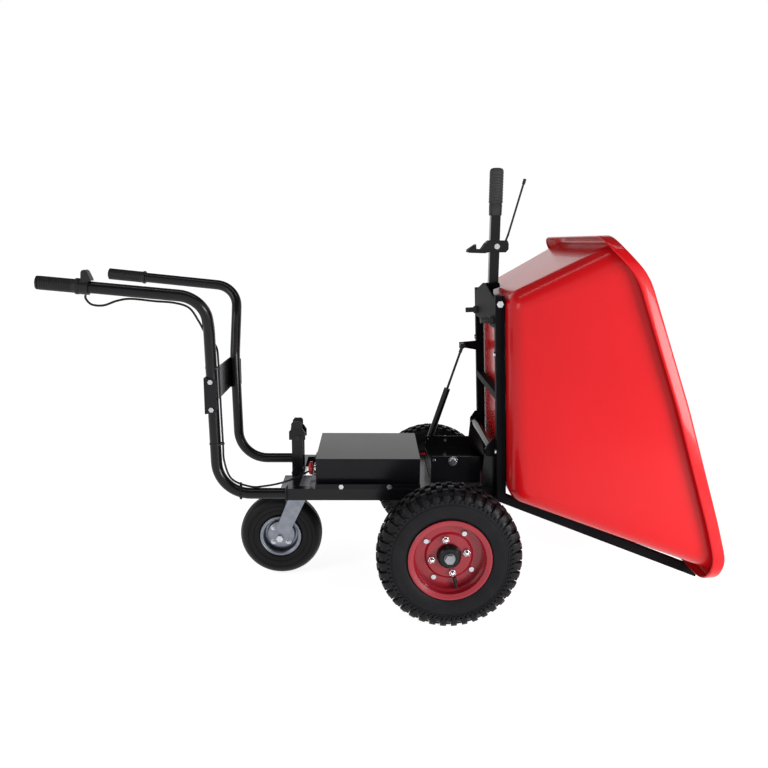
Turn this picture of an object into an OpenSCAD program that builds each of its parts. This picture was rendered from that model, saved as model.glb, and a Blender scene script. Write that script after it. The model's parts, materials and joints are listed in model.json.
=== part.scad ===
// Battery-powered wheelbarrow with a tipping tub, drawn tipped.
// +X is the way it drives and tips, +Z is up, and +Y is its left side.
// Lengths are millimetres. Places along X are measured from the drive axle,
// and axle_x carries the whole machine to its own frame.

/* [Drive wheels] */
// Outside diameter over the tread lugs
wheel_d = 400; // [396:1:402]
// Width of a drive tyre
tyre_w = 98; // [94:1:100]
// Distance over the outer faces of both drive tyres
track_out = 755.6; // [752:1:760]
// Number of tread lugs in a row
lug_count = 40; // [36:2:44]

/* [Caster] */
// Diameter of the caster tyre
caster_d = 257; // [250:1:258]
// Width of the caster tyre
caster_w = 76; // [70:1:80]
// Place of the swivel axis behind the drive axle
swivel_x = -430; // [-432:1:-428]
// How far the caster wheel trails its swivel axis
caster_trail = 67.4; // [64:1:68]

/* [Chassis] */
// Half the width over the chassis rails
rail_out = 175; // [174:1:176]
// Underside of the chassis rails
rail_z = 298.5; // [298:0.5:300]
// Height of a chassis rail
rail_h = 34.8; // [33:0.5:35]
// Rear end of the chassis rails
rail_back = -457.5; // [-458:0.5:-457]
// Front end of the chassis rails
rail_front = 172; // [170:1:174]

/* [Battery box] */
// Rear face of the battery box
box_back = -375.4; // [-376:0.2:-375]
// Front face of the battery box
box_front = -69.8; // [-72:0.2:-69]
// Half the width of the battery box
box_half = 148.5; // [146:0.5:149]
// Top of the battery box's lid
box_top = 415.9; // [410:0.1:416]

/* [Handlebars] */
// Radius of the handlebar tube
bar_r = 16; // [15.5:0.1:16]
// Distance of a handlebar's upright from the middle
bar_y = 178; // [177:1:180]

/* [Tipping tub] */
// Place of the tub's hinge in front of the drive axle
hinge_x = 134; // [133:1:135]
// Height of the tub's hinge
hinge_z = 452; // [451:1:453]
// How far the tub frame leans back when the tub is tipped
lean = 2.6; // [2.4:0.1:2.8]
// Sheet thickness of the tub
tub_t = 2; // [1.5:0.1:2.5]

/* [Gas strut] */
// Side-to-side place of the gas strut
strut_y = 162; // [161.5:0.1:162.5]
// Radius of the strut's cylinder
strut_r = 10.5; // [10:0.1:10.8]

/* [Hidden] */
$fn = 48;
eps = 0.01;
axle_x = 168.55;                   // from the middle of the machine forward to the drive axle
wheel_r = wheel_d / 2;
wheel_y = track_out / 2 - tyre_w / 2;
fit = 0.05;                        // radial clearance of a running fit
rail_top = rail_z + rail_h;
rail_in = rail_out - 25;
box_w_flange = 14;
// bar route from the chassis rail to the grip's outer end, left side
bar_route = [[-461, 178, 321], [-656, 178, 321], [-662, 178, 672], [-658, 206, 801],
             [-660, 243, 890], [-1082, 268, 929]];
bar_bends = [95, 150, 150, 75];
grip_dir = unit(bar_route[5] - bar_route[4]);
grip_end = bar_route[5];
// cross plate between the uprights: its rear face, then its lower and upper edges
plate_x = -681;
plate_z = [566, 664];
// strut ends when the tub is tipped
strut_low = [-24.7, strut_y, 374.6];
strut_high = [84, strut_y, 708];
strut_dir = unit(strut_high - strut_low);
strut_len = norm(strut_high - strut_low);
// hook, in the world when the tub is tipped
latch_pivot = [155.4, 0, 1028.1];
lever_x0 = 135.9;
lever_w = 28;
post_x0 = -457.8;
post_x1 = -423.4;
pin_x = -441;
pin_z = 446;
// rim of the tub in its own leaning frame: [rearward place, height over the hinge line]
rim = [[594, 286], [505, 356], [161, 468], [-158, 558], [-260, 583], [-325, 579]];
old_hinge = [152, 434];            // foot of the leaning frame the tub is drawn in
floor_x = 20;                      // outside of the tub's floor in the leaning frame
floor_r = 60;                      // round from the floor into the walls
floor_half = 272;                  // half width of the tub where its walls leave the floor
rim_half = 345;                    // half width of the tub's opening at the rim
rim_r = 70;                        // corner round of the walls at the rim
past_rim = 40;                     // how far the walls are drawn on before the rim trims them
throttle_route = [[-966, -261, 897], [-965, -261, 886], [-950, -262, 872], [-920, -261, 870],
                  [-885, -258, 882], [-850, -255, 887], [-790, -251, 881], [-736, -247, 876],
                  [-700, -241, 862], [-679.5, -228, 825], [-674, -190, 792], [-658, -178, 768],
                  [-644, -180, 745], [-640.5, -184, 710], [-641, -177, 660], [-639, -178, 560],
                  [-637, -178, 470], [-635, -178, 416], [-615, -178, 364], [-562, -178, 341.5],
                  [-520, -174, 342], [-480, -162, 346], [-445, -135, 350], [-415, -90, 352],
                  [-395, -50, 352], [-385, -50, 352], [-375.4, -50, 352]];
motor_route = [[-100, -138, 333.3], [-100, -138, 322], [-92, -139, 300], [-76, -139, 282],
               [-58, -130, 276], [-40, -110, 276], [-26, -86, 278], [-17, -66, 286],
               [-16, -59, 298], [-16, -59, 310]];

// ---- helpers ----

function unit(v) = v / norm(v);

// columns of a frame whose Z runs along d, standing at p
function frame_at(p, d) =
    let (z = unit(d), side = abs(z[1]) < 0.9 ? [0, 1, 0] : [1, 0, 0],
         x = unit(cross(side, z)), y = cross(z, x))
    [[x[0], y[0], z[0], p[0]], [x[1], y[1], z[1], p[1]], [x[2], y[2], z[2], p[2]], [0, 0, 0, 1]];

module along(p, d) {
    multmatrix(frame_at(p, d)) children();
}

module machine() {
    translate([axle_x, 0, 0]) children();
}

// box given by its lowest and highest corners
module block(a, b) {
    translate(a) cube(b - a);
}

module rod(a, b, r) {
    along(a, b - a) cylinder(r = r, h = norm(b - a));
}

module mirrored(side) {
    mirror([0, side < 0 ? 1 : 0, 0]) children();
}

module both_sides() {
    for (side = [1, -1]) mirrored(side) children();
}

// middle line through a list of corners, with an arc at each inner corner
function bend_line(pts, bends, steps = 7) =
    concat([pts[0]],
           [for (i = [1:len(pts) - 2])
               let (a = unit(pts[i] - pts[i - 1]), b = unit(pts[i + 1] - pts[i]),
                    angle = acos(a * b), n = unit(b - a * (a * b)), r = bends[i - 1],
                    o = pts[i] - a * r * tan(angle / 2) + n * r,
                    count = max(2, ceil(steps * angle / 90)))
               for (k = [0:count])
                   o + r * (a * sin(angle * k / count) - n * cos(angle * k / count))],
           [pts[len(pts) - 1]]);

// corners of the rings of radius r that stand square on a line of points
function sweep_rings(pts, r, sides) =
    let (n = len(pts))
    [for (i = [0:n - 1])
        let (d = unit(pts[min(i + 1, n - 1)] - pts[max(i - 1, 0)]), m = frame_at(pts[i], d))
        for (k = [0:sides - 1])
            let (x = r * cos(360 * k / sides), y = r * sin(360 * k / sides))
            [for (j = [0:2]) m[j][0] * x + m[j][1] * y + m[j][3]]];

// the four-cornered faces between neighbouring rings, as triangles; first is their offset
function sweep_sides(n, sides, first = 0, inward = false) =
    [for (i = [0:n - 2], k = [0:sides - 1])
        let (a = first + i * sides + k, b = first + i * sides + (k + 1) % sides)
        each inward ? [[a, b, a + sides], [b, b + sides, a + sides]]
                    : [[a, a + sides, b], [b, a + sides, b + sides]]];

// round tube with open ends
module bent_tube(pts, bends, r, wall, sides = 20) {
    route = bend_line(pts, bends);
    n = len(route);
    inner = n * sides;
    end = (n - 1) * sides;
    caps = [for (k = [0:sides - 1])
        let (j = (k + 1) % sides)
        each [[k, j, inner + k], [j, inner + j, inner + k],
              [end + k, inner + end + k, end + j],
              [end + j, inner + end + k, inner + end + j]]];
    polyhedron(points = concat(sweep_rings(route, r, sides), sweep_rings(route, r - wall, sides)),
               faces = concat(sweep_sides(n, sides), sweep_sides(n, sides, inner, true), caps));
}

// smooth curve through p: point at t between p[i] and p[i + 1]
function curve_point(p, i, t) =
    let (last = len(p) - 1, a = p[max(i - 1, 0)], b = p[i], c = p[i + 1], d = p[min(i + 2, last)])
    0.5 * (2 * b + (c - a) * t + (2 * a - 5 * b + 4 * c - d) * t * t
           + (3 * b - a - 3 * c + d) * t * t * t);

function curve(p, steps) =
    concat([for (i = [0:len(p) - 2], k = [0:steps - 1]) curve_point(p, i, k / steps)],
           [p[len(p) - 1]]);

// cable swept along a route as one closed tube
module cable(route, r, steps = 3, sides = 8) {
    pts = curve(route, steps);
    n = len(pts);
    polyhedron(points = sweep_rings(pts, r, sides),
               faces = concat([[for (k = [0:sides - 1]) k]],
                              [[for (k = [0:sides - 1]) n * sides - 1 - k]],
                              sweep_sides(n, sides)));
}

// the tub's leaning frame: X is height over the tub's floor line, Z runs to its rear
module tub_space() {
    translate([old_hinge[0], 0, old_hinge[1]]) rotate([0, -lean, 0]) children();
}

// profile in the X-Z plane, from y = -half to y = +half
module side_plate(pts, half) {
    rotate([90, 0, 0]) linear_extrude(2 * half, center = true) polygon(pts);
}

module ring(r_out, r_in, h) {
    difference() {
        cylinder(r = r_out, h = h);
        translate([0, 0, -1]) cylinder(r = r_in, h = h + 2);
    }
}

module hex_bolt(flat, head_h, shank_r, shank_l) {
    cylinder(d = flat / cos(30), h = head_h, $fn = 6);
    translate([0, 0, -shank_l]) cylinder(r = shank_r, h = shank_l + eps);
}

// ---- chassis ----

module chassis_frame() {
    color("#1b1b1d") machine() difference() {
        union() {
            both_sides() difference() {
                block([rail_back, rail_in, rail_z], [rail_front, rail_out, rail_top]);
                block([rail_back + 3, rail_in + 2, rail_z + 2],
                      [rail_front - 3, rail_out - 2, rail_top - 2]);
            }
            both_sides() block([rail_back - 3.5, rail_in - 2, rail_z],
                               [rail_back, bar_y + 18, rail_top + 5]);
            for (x = [rail_back, -395, -225, 132])
                block([x, -rail_in, rail_z], [x + 34, rail_in, rail_top]);
            // deck between the battery box and the motor cover
            block([box_front + 1, -rail_in, rail_top - 3], [-36, rail_in, rail_top]);
            // hangers that carry the axle housing
            both_sides() block([-38, rail_in + 4, 186], [38, rail_in + 12, rail_z]);
        }
        both_sides() translate([0, rail_in, 200]) rotate([-90, 0, 0])
            cylinder(r = 30.02, h = 20);
        for (y = [-44, 44]) translate([-440, y, rail_z - 1]) cylinder(r = 5.2, h = 60);
        for (y = [-44, 44]) translate([-384, y, rail_z - 1]) cylinder(r = 5.2, h = 60);
    }
}

module caster_plate() {
    color("#b9bcc0") machine() difference() {
        union() {
            block([-490, -58, rail_z - 5], [-370, 58, rail_z]);
            translate([swivel_x, 0, rail_z - 13]) ring(34, 26, 8 + eps);
            translate([swivel_x, 0, rail_z - 12]) cylinder(r = 9, h = 12);
            translate([swivel_x, 0, 262]) cylinder(r = 9, h = 26);
            translate([swivel_x, 0, 256]) cylinder(r = 16, h = 7);
        }
        for (x = [-440, -384], y = [-44, 44])
            translate([x, y, rail_z - 6]) cylinder(r = 5.2, h = 8);
    }
}

module latch_post() {
    color("#242427") machine() {
        // channel with its web to the rear, and a tongue that passes between the hook's cheeks
        block([post_x0, -28, rail_top], [post_x0 + 4, 28, 404]);
        block([post_x0, -12, 403], [post_x0 + 4, 12, 455.5]);
        both_sides() difference() {
            union() {
                block([post_x0, 24, rail_top], [post_x1, 28, 443]);
                side_slab([[-466, 440], [-416, 440], [-416, 462], [-425, 476], [-457, 476],
                           [-466, 466]], 24, 28);
            }
            translate([pin_x, 20, pin_z]) rotate([-90, 0, 0]) cylinder(r = 5, h = 12);
        }
        // shelf under the lever's rubber pads
        block([post_x0 + 3, -12, 452.5], [post_x1 - 4, 12, 455.5]);
        // foot on the rear cross-member
        block([post_x0 - 2, -34, rail_top], [post_x1 + 4, 34, rail_top + 3]);
    }
}

// flat plate with an X-Z outline, from y0 to y1
module side_slab(pts, y0, y1) {
    translate([0, y1, 0]) rotate([90, 0, 0]) linear_extrude(y1 - y0) polygon(pts);
}

module post_bumpers() {
    color("#101011") machine() {
        both_sides() side_slab([[-459, 476], [-427, 476], [-427, 492], [-432, 497.7],
                                [-453, 497.7], [-459, 490]], 22.8, 28);
        both_sides() block([-456, 7, 455.5], [-428, 12, 478.8]);
    }
}

module catch_pin() {
    color("#8d9095") machine() {
        translate([pin_x, -31, pin_z]) rotate([-90, 0, 0]) cylinder(r = 5, h = 62);
        both_sides() translate([pin_x, 28, pin_z]) rotate([-90, 0, 0]) cylinder(r = 8, h = 3);
    }
}

module handlebar(side) {
    mirrored(side) bent_tube(bar_route, bar_bends, bar_r, 2);
}

module handlebar_left() {
    color("#141415") machine() handlebar(1);
}

module handlebar_right() {
    color("#141415") machine() handlebar(-1);
}

module handle_cross_plate() {
    color("#1a1a1c") machine() difference() {
        union() {
            // web behind the uprights and a flange along the outside of each
            side_slab([[plate_x, plate_z[0]], [plate_x + 3, plate_z[0]],
                       [plate_x + 3, plate_z[1]], [plate_x, plate_z[1]]], -197, 197);
            both_sides() side_slab([[plate_x, 560], [-650, 566], [-646, 574], [-646, 656],
                                    [-650, 660], [plate_x, 664]], 194.4, 197.4);
        }
        for (z = [573.5, 652.5]) translate([-662, -200, z]) rotate([-90, 0, 0])
            cylinder(r = 4.1, h = 400);
    }
}

module handle_bolts() {
    color("#c9ccd0") machine() both_sides() for (z = [573.5, 652.5])
        translate([-662, 197.4, z]) rotate([-90, 0, 0]) hex_bolt(13, 5, 4, 3.1);
}

module grip_left() {
    color("#131314") machine() along(grip_end, -grip_dir) difference() {
        union() {
            translate([0, 0, -4]) cylinder(r = 18.5, h = 121);
            translate([0, 0, 112]) cylinder(r = 21, h = 6);
            translate([0, 0, -5]) cylinder(r = 17, h = 3);
        }
        cylinder(r = bar_r + 0.02, h = 130);
    }
}

function flip_y(p) = [p[0], -p[1], p[2]];

module at_right_grip() {
    along(flip_y(grip_end), -flip_y(grip_dir)) children();
}

module throttle_grip() {
    color("#131314") machine() at_right_grip() difference() {
        union() {
            translate([0, 0, 0]) cylinder(r = 18.5, h = 100);
            translate([0, 0, 94]) cylinder(r = 21.5, h = 10);
        }
        translate([0, 0, -1]) cylinder(r = bar_r + fit, h = 120);
    }
}

module throttle_housing() {
    color("#161618") machine() {
        at_right_grip() difference() {
            translate([0, 0, 104.4]) cylinder(r = 20.5, h = 24);
            translate([0, 0, 100]) cylinder(r = bar_r + 0.02, h = 40);
        }
        difference() {
            hull() {
                translate([-959, -261, 936]) rotate([-90, 0, 0])
                    cylinder(r = 13, h = 24, center = true, $fn = 32);
                translate([-962, -261, 954]) rotate([-90, 0, 0])
                    cylinder(r = 9, h = 22, center = true, $fn = 32);
            }
            at_right_grip() cylinder(r = 20.4, h = 150);
        }
        // end disc of the bar
        at_right_grip() translate([0, 0, -5]) cylinder(r = 18, h = 4.6);
    }
}

// ---- battery box and controls ----

module battery_box() {
    color("#17171a") machine() difference() {
        union() {
            block([box_back, -box_half, rail_top], [box_front, box_half, box_top - 3]);
            both_sides() block([box_back, box_half - 1, rail_top],
                               [box_front, rail_out, rail_top + box_w_flange]);
        }
        block([box_back + 2, -box_half + 2, rail_top + 2],
              [box_front - 2, box_half - 2, box_top]);
        both_sides() block([box_back - 1, box_half, rail_top + 2],
                           [box_front + 1, rail_out - 2.5, rail_top + 20]);
        translate([box_back - 1, -100, 373]) rotate([0, 90, 0]) cylinder(r = 11, h = 4);
        block([box_back - 1, -86, 392], [box_back + 3, -62, 406]);
        for (x = [-300, -160]) both_sides() translate([x, rail_out - 4, 341])
            rotate([-90, 0, 0]) cylinder(r = 4, h = 6);
    }
}

module box_lid() {
    color("#2a2b2e") machine() difference() {
        union() {
            block([box_back - 0.2, -box_half - 0.2, box_top - 3],
                  [box_front + 0.2, box_half + 0.2, box_top]);
            block([box_back + 2, -box_half + 2, box_top - 9],
                  [box_front - 2, box_half - 2, box_top - 3 + eps]);
        }
        block([box_back + 4, -box_half + 4, box_top - 10],
              [box_front - 4, box_half - 4, box_top - 3]);
    }
}

module battery_pack() {
    color("#3a5f8a") machine() {
        block([-350, -112, rail_top + 2], [-200, 112, 400]);
        for (y = [-80, 80]) translate([-335, y, 400]) cylinder(r = 6, h = 5);
    }
}

module controller() {
    color("#8d9095") machine() {
        block([-180, -70, rail_top + 2], [-84, 70, 376]);
        for (i = [0:6]) block([-176 + 14 * i, -66, 375], [-172 + 14 * i, 66, 390]);
    }
}

module frame_bolts() {
    color("#b6b9be") machine() both_sides() {
        for (x = [-300, -160]) translate([x, rail_out, 341]) rotate([-90, 0, 0])
            hex_bolt(13, 5.5, 4, 2.5);
        translate([-26.9, 118, 405]) rotate([-90, 0, 0]) hex_bolt(8, 4, 2.5, 2);
        translate([29.6, 118, 401]) rotate([-90, 0, 0]) union() {
            cylinder(r = 14, h = 2.5);
            translate([0, 0, 2.5]) hex_bolt(17, 8, 5, 2.5);
        }
        for (y = [44]) for (x = [-440, -384])
            translate([x, y, rail_z - 5]) rotate([180, 0, 0]) hex_bolt(16, 6, 5.2, 5);
    }
}

module estop_body() {
    color("#c8cacd") machine() translate([box_back, -100, 373]) rotate([0, -90, 0])
        difference() {
            union() {
                cylinder(r = 15, h = 8);
                translate([0, 0, -20]) cylinder(r = 11, h = 22);
                translate([0, 0, -22]) block([-14, -14, 0], [14, 14, 18]);
            }
            translate([0, 0, -20]) cylinder(r = 7 + fit, h = 40);
        }
}

module estop_button() {
    color("#c3161c") machine() translate([box_back, -100, 373]) rotate([0, -90, 0])
        rotate_extrude() polygon([[0, -12], [7, -12], [7, 12.5], [18, 12.5], [20, 15],
                                  [20, 19], [17, 23], [10, 25.5], [0, 26.5]]);
}

module rocker_housing() {
    color("#111113") machine() difference() {
        union() {
            block([box_back - 4, -90, 388], [box_back, -58, 410]);
            block([box_back - eps, -86, 392], [box_back + 16, -62, 406]);
        }
        block([box_back - 6, -83, 393], [box_back + 12, -65, 405]);
    }
}

module rocker() {
    color("#1d1d20") machine() translate([box_back - 1, -74, 399]) rotate([90, 0, 0])
        translate([0, 0, -8.6]) linear_extrude(17.2)
            polygon([[-6, -4.6], [-4.2, 0], [-6, 4.6], [3, 4.2], [6, 0], [3, -4.2]]);
}

module throttle_cable() {
    color("#0c0c0d") machine() cable(throttle_route, 3, 3);
}

module motor_cable() {
    color("#0c0c0d") machine() cable(motor_route, 5, 3);
}

// ---- drive ----

module axle_housing() {
    color("#2b2c2f") machine() translate([0, 0, 200]) rotate([-90, 0, 0]) difference() {
        union() {
            rotate([0, 0, 90]) cylinder(r = 72, h = 96, center = true);
            translate([0, -70, 0]) cube([90, 56, 96], center = true);
            cylinder(r = 30, h = 2 * 262, center = true);
            for (z = [-60, 60]) translate([0, 0, z]) cylinder(r = 44, h = 26, center = true);
        }
        for (s = [-1, 1]) translate([0, 0, s * 170]) cylinder(r = 12.5 + fit, h = 200, center = true);
    }
}

module drive_motor() {
    color("#4a4c50") machine() {
        translate([25, 0, 298]) cylinder(r = 54, h = 60);
        translate([25, 0, 358]) cylinder(r = 46, h = 12);
        block([-28, -66, 310], [6, -40, 340]);
    }
}

module motor_cover() {
    color("#1c1c1f") machine() difference() {
        union() {
            block([-35, -118, rail_top], [112, 118, 375]);
            both_sides() block([-35, 116, rail_top], [112, 118, 415]);
        }
        block([-33, -116, rail_top - 1], [110, 116, 373]);
        both_sides() translate([-26.9, 115, 405]) rotate([-90, 0, 0]) cylinder(r = 2.5, h = 5);
        both_sides() translate([29.6, 115, 401]) rotate([-90, 0, 0]) cylinder(r = 5, h = 5);
    }
}

module hinge_brackets() {
    color("#1b1b1d") machine() difference() {
        union() {
            both_sides() side_slab([[108, rail_top], [166, rail_top], [152, hinge_z],
                                    [hinge_x, hinge_z + 18], [116, hinge_z]], 158, 167);
            translate([hinge_x, -171, hinge_z]) rotate([-90, 0, 0]) cylinder(r = 13, h = 342);
        }
        translate([hinge_x, -200, hinge_z]) rotate([-90, 0, 0]) cylinder(r = 8 + fit, h = 400);
    }
}

module hinge_pin() {
    color("#9a9da2") machine() translate([hinge_x, -178, hinge_z]) rotate([-90, 0, 0])
        cylinder(r = 8, h = 356);
}

// ---- tipping tub ----

rail_x0 = -7;                      // rear face of the tub frame's rails
rail_w = 25;
bar_slope = 0.4463;

// outline of one side of the tub frame: upright rail, then the bar under the front wall
function frame_side(inset) =
    let (front = rail_x0 + rail_w - inset, back = rail_x0 + inset, end = 584 - inset,
         k = sqrt(1 + bar_slope * bar_slope), top = -110.5 - inset * k,
         low = top - (rail_w - 2 * inset) * k)
    [[back, 462 - inset], [front, 462 - inset], [front, top - bar_slope * (front - 19.5)],
     [end, top - bar_slope * (end - 19.5)], [end - 8, low - bar_slope * (end - 8 - 19.5)],
     [back, low - bar_slope * (back - 19.5)]];

module tub_frame() {
    color("#161617") machine() difference() {
        union() {
            tub_space() {
                both_sides() difference() {
                    side_slab(frame_side(0), 182.5, 207.5);
                    side_slab(frame_side(2), 184.5, 205.5);
                }
                // top cross-member, lower cross-member and rear plate
                translate([rail_x0, 0, 0]) rotate([90, 0, 90]) linear_extrude(3)
                    polygon([[-182.5, 372], [182.5, 372], [182.5, 455], [20, 487], [-20, 487],
                             [-182.5, 455]]);
                block([rail_x0, -182.5, 405], [rail_x0 + rail_w, 182.5, 430]);
                block([rail_x0, -182.5, 170], [rail_x0 + 20, 182.5, 190]);
            }
            // lugs that hold the hinge pin
            both_sides() side_slab([[hinge_x - 16, hinge_z - 16], [hinge_x + 24, hinge_z - 20],
                                    [hinge_x + 24, hinge_z + 34], [hinge_x, hinge_z + 34],
                                    [hinge_x - 16, hinge_z + 10]], 173, 182.6);
            // arm that carries the top of the gas strut
            side_slab([[strut_high[0] - 9, strut_high[2] - 9], [strut_high[0] + 9, strut_high[2] - 9],
                       [146, 690], [146, 724], [strut_high[0] - 9, strut_high[2] + 9]],
                      176, 182.6);
            translate([strut_high[0], 171.6, strut_high[2]]) rotate([-90, 0, 0])
                cylinder(r = 5, h = 5);
        }
        both_sides() translate([hinge_x, 170, hinge_z]) rotate([-90, 0, 0])
            cylinder(r = 8, h = 8);
        tub_space() both_sides() for (z = [20, 300]) translate([0, 195, z])
            rotate([0, 90, 0]) cylinder(r = 4, h = 60, center = true);
        tub_space() translate([rail_x0 + rail_w / 2, -250, 440]) rotate([-90, 0, 0])
            cylinder(r = 5, h = 500);
    }
}

// half width of the tub's wall where it runs on past a rim point
function past_rim_half(p) = rim_half + past_rim * (rim_half - floor_half) / (p[1] - 80);

// walls of the tub as one rounded funnel that runs on past the rim; inset carves its inside
module funnel(inset) {
    hull() {
        for (y = [-212, 212], z = [-71, 427])
            translate([floor_x + floor_r, y, z]) sphere(r = floor_r - inset, $fn = 28);
        for (side = [-1, 1]) {
            translate([rim[0][1] + past_rim, side * (past_rim_half(rim[0]) - rim_r),
                       rim[0][0] + past_rim * 0.487 - rim_r])
                rotate([0, 90, 0]) cylinder(r = rim_r - inset, h = 1, $fn = 40);
            translate([rim[5][1] + past_rim, side * (past_rim_half(rim[5]) - rim_r),
                       rim[5][0] - past_rim * 0.38 + rim_r])
                rotate([0, 90, 0]) cylinder(r = rim_r - inset, h = 1, $fn = 40);
            for (i = [1:4])
                translate([rim[i][1] + past_rim, side * (past_rim_half(rim[i]) - 1 - inset),
                           rim[i][0]])
                    rotate([0, 90, 0]) cylinder(r = 1, h = 1, $fn = 4);
        }
    }
}

// rounded rectangle seen along X, as a tall prism
module plan(inset) {
    r = 95 - inset;
    back = 612 - inset;
    front = -345 + inset;
    half = 369 - inset;
    translate([-50, 0, 0]) rotate([90, 0, 90]) linear_extrude(800) union() {
        translate([-half, front + r]) square([2 * half, back - front - 2 * r]);
        translate([-half + r, front]) square([2 * half - 2 * r, back - front]);
        for (y = [-half + r, half - r], z = [front + r, back - r]) translate([y, z]) circle(r = r);
    }
}

// band that follows the rim, from drop below it to the rim itself
module rim_band(drop, shift) {
    line = [for (p = rim) [p[1] - shift, p[0]]];
    ends = concat([[line[0][0] - 16, 640]], line, [[line[5][0] - 4, -390]]);
    side_plate(concat(ends, [for (i = [len(ends) - 1:-1:0]) ends[i] - [drop, 0]]), 400);
}

module tub() {
    color("#e01f26") machine() tub_space() difference() {
        union() {
            intersection() {
                funnel(0);
                rim_band(700, 0);
            }
            difference() {
                intersection() {
                    rim_band(30, 0);
                    plan(0);
                }
                intersection() {
                    rim_band(60, tub_t);
                    plan(tub_t);
                }
            }
        }
        funnel(tub_t);
    }
}

module tub_bolts() {
    color("#c9ccd0") machine() tub_space() both_sides() for (z = [20, 300])
        translate([rail_x0, 195, z]) rotate([0, -90, 0]) hex_bolt(13, 5, 4, 25);
}

module lever_gussets() {
    color("#1a1a1c") machine() tub_space() both_sides()
        side_slab([[rail_x0 + 3.1, 430.2], [18, 430.2], [18, 468], [38, 474], [38, 484],
                   [32, 490], [rail_x0 + 3.1, 486]], 14.2, 18.2);
}

module gusset_bolts() {
    color("#c9ccd0") machine() tub_space() both_sides()
        translate([rail_x0 + rail_w / 2, 0, 440]) rotate([-90, 0, 0]) {
            translate([0, 0, 182.5]) cylinder(r = 5, h = 25);
            translate([0, 0, 207.5]) cylinder(d = 17 / cos(30), h = 6, $fn = 6);
            translate([0, 0, 176.5]) cylinder(d = 17 / cos(30), h = 6, $fn = 6);
        }
}

module tub_lever() {
    color("#1a1a1c") machine() difference() {
        block([lever_x0, -14, 858], [lever_x0 + lever_w, 14, 1248]);
        block([lever_x0 + 2.5, -11.5, 850], [lever_x0 + lever_w - 2.5, 11.5, 1250]);
        translate([latch_pivot[0], -20, latch_pivot[2]]) rotate([-90, 0, 0])
            cylinder(r = 5, h = 40);
        tub_space() {
            block([-60, -30, 380], [19, 30, 430.2]);
            block([19, -30, 380], [80, 30, 471]);
        }
    }
}

module lever_grip() {
    cx = lever_x0 + lever_w / 2;
    color("#101011") machine() difference() {
        translate([cx, 0, 1117.8]) rotate_extrude()
            polygon([[0, 0], [18.6, 0], [19.4, 30], [20.6, 34], [20.6, 122], [18, 134], [0, 135]]);
        block([lever_x0, -14, 1100], [lever_x0 + lever_w, 14, 1248]);
    }
}

module tub_buffers() {
    color("#2e2e31") machine() tub_space() both_sides() {
        translate([rail_x0, 162, 393]) rotate([0, -90, 0]) cylinder(r = 12, h = 10);
        translate([rail_x0, 162, 393]) rotate([0, -90, 0]) cylinder(r = 8, h = 36);
    }
}

module latch_pivot_bolt() {
    color("#c9ccd0") machine() {
        translate(latch_pivot - [0, 17.9, 0]) rotate([-90, 0, 0]) cylinder(r = 5, h = 35.8);
        for (s = [-1, 1]) translate(latch_pivot + [0, s * 19.6, 0]) rotate([-90, 0, 0])
            cylinder(r = 8, h = 3.4, center = true);
    }
}

// ---- latch on the lever ----

module latch_hook() {
    color("#232326") machine() difference() {
        union() {
            both_sides() side_slab([[186, 1046], [130, 1046], [120, 1036], [109.6, 1020.4],
                                    [95.2, 1020.4], [93.6, 1035.2], [70, 1019], [68, 1012],
                                    [76, 1009], [120, 1008], [132, 1011], [182, 1011],
                                    [190, 1020], [190, 1036]], 14.4, 17.8);
            // bridge between the cheeks, behind the lever
            block([170, -17.8, 1018], [186, 17.8, 1046]);
        }
        translate(latch_pivot - [0, 20, 0]) rotate([-90, 0, 0]) cylinder(r = 5 + fit, h = 40);
    }
}

module latch_rod() {
    color("#55575b") machine() {
        rod([181, 0, 1038], [190, 0, 1062], 3);
        translate([190, 0, 1062]) sphere(r = 3.6);
        rod([190, 0, 1062], [230, 0, 1209.8], 3);
        rod([229.4, 0, 1207.6], [233.4, 0, 1222.4], 4.6);
    }
}

module latch_spring() {
    color("#b6b9be") machine() translate([129.5, 0, 1014])
        for (i = [0:9]) translate([0, 0, 3.4 * i]) rotate_extrude()
            translate([4.4, 0]) circle(r = 1);
}

// ---- gas strut ----

module strut_cylinder() {
    color("#151517") machine() difference() {
        union() {
            translate(strut_low) rotate([-90, 0, 0]) cylinder(r = 9, h = 15, center = true);
            along(strut_low, strut_dir) cylinder(r = 5.5, h = 24);
            along(strut_low, strut_dir) translate([0, 0, 24]) cylinder(r = strut_r, h = 177);
        }
        translate(strut_low) rotate([-90, 0, 0]) cylinder(r = 4 + fit, h = 30, center = true);
        along(strut_low, strut_dir) translate([0, 0, 30]) cylinder(r = 4 + fit, h = 190);
    }
}

module strut_rod() {
    color("#c9ccd0") machine() {
        along(strut_low, strut_dir) translate([0, 0, 175]) cylinder(r = 4, h = strut_len - 183);
        translate(strut_high) rotate([-90, 0, 0]) cylinder(r = 9, h = 15, center = true);
        along(strut_low, strut_dir) translate([0, 0, strut_len - 24]) cylinder(r = 5.5, h = 18);
    }
}

// ---- caster ----

caster_z = caster_d / 2;
caster_x = swivel_x - caster_trail;

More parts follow.
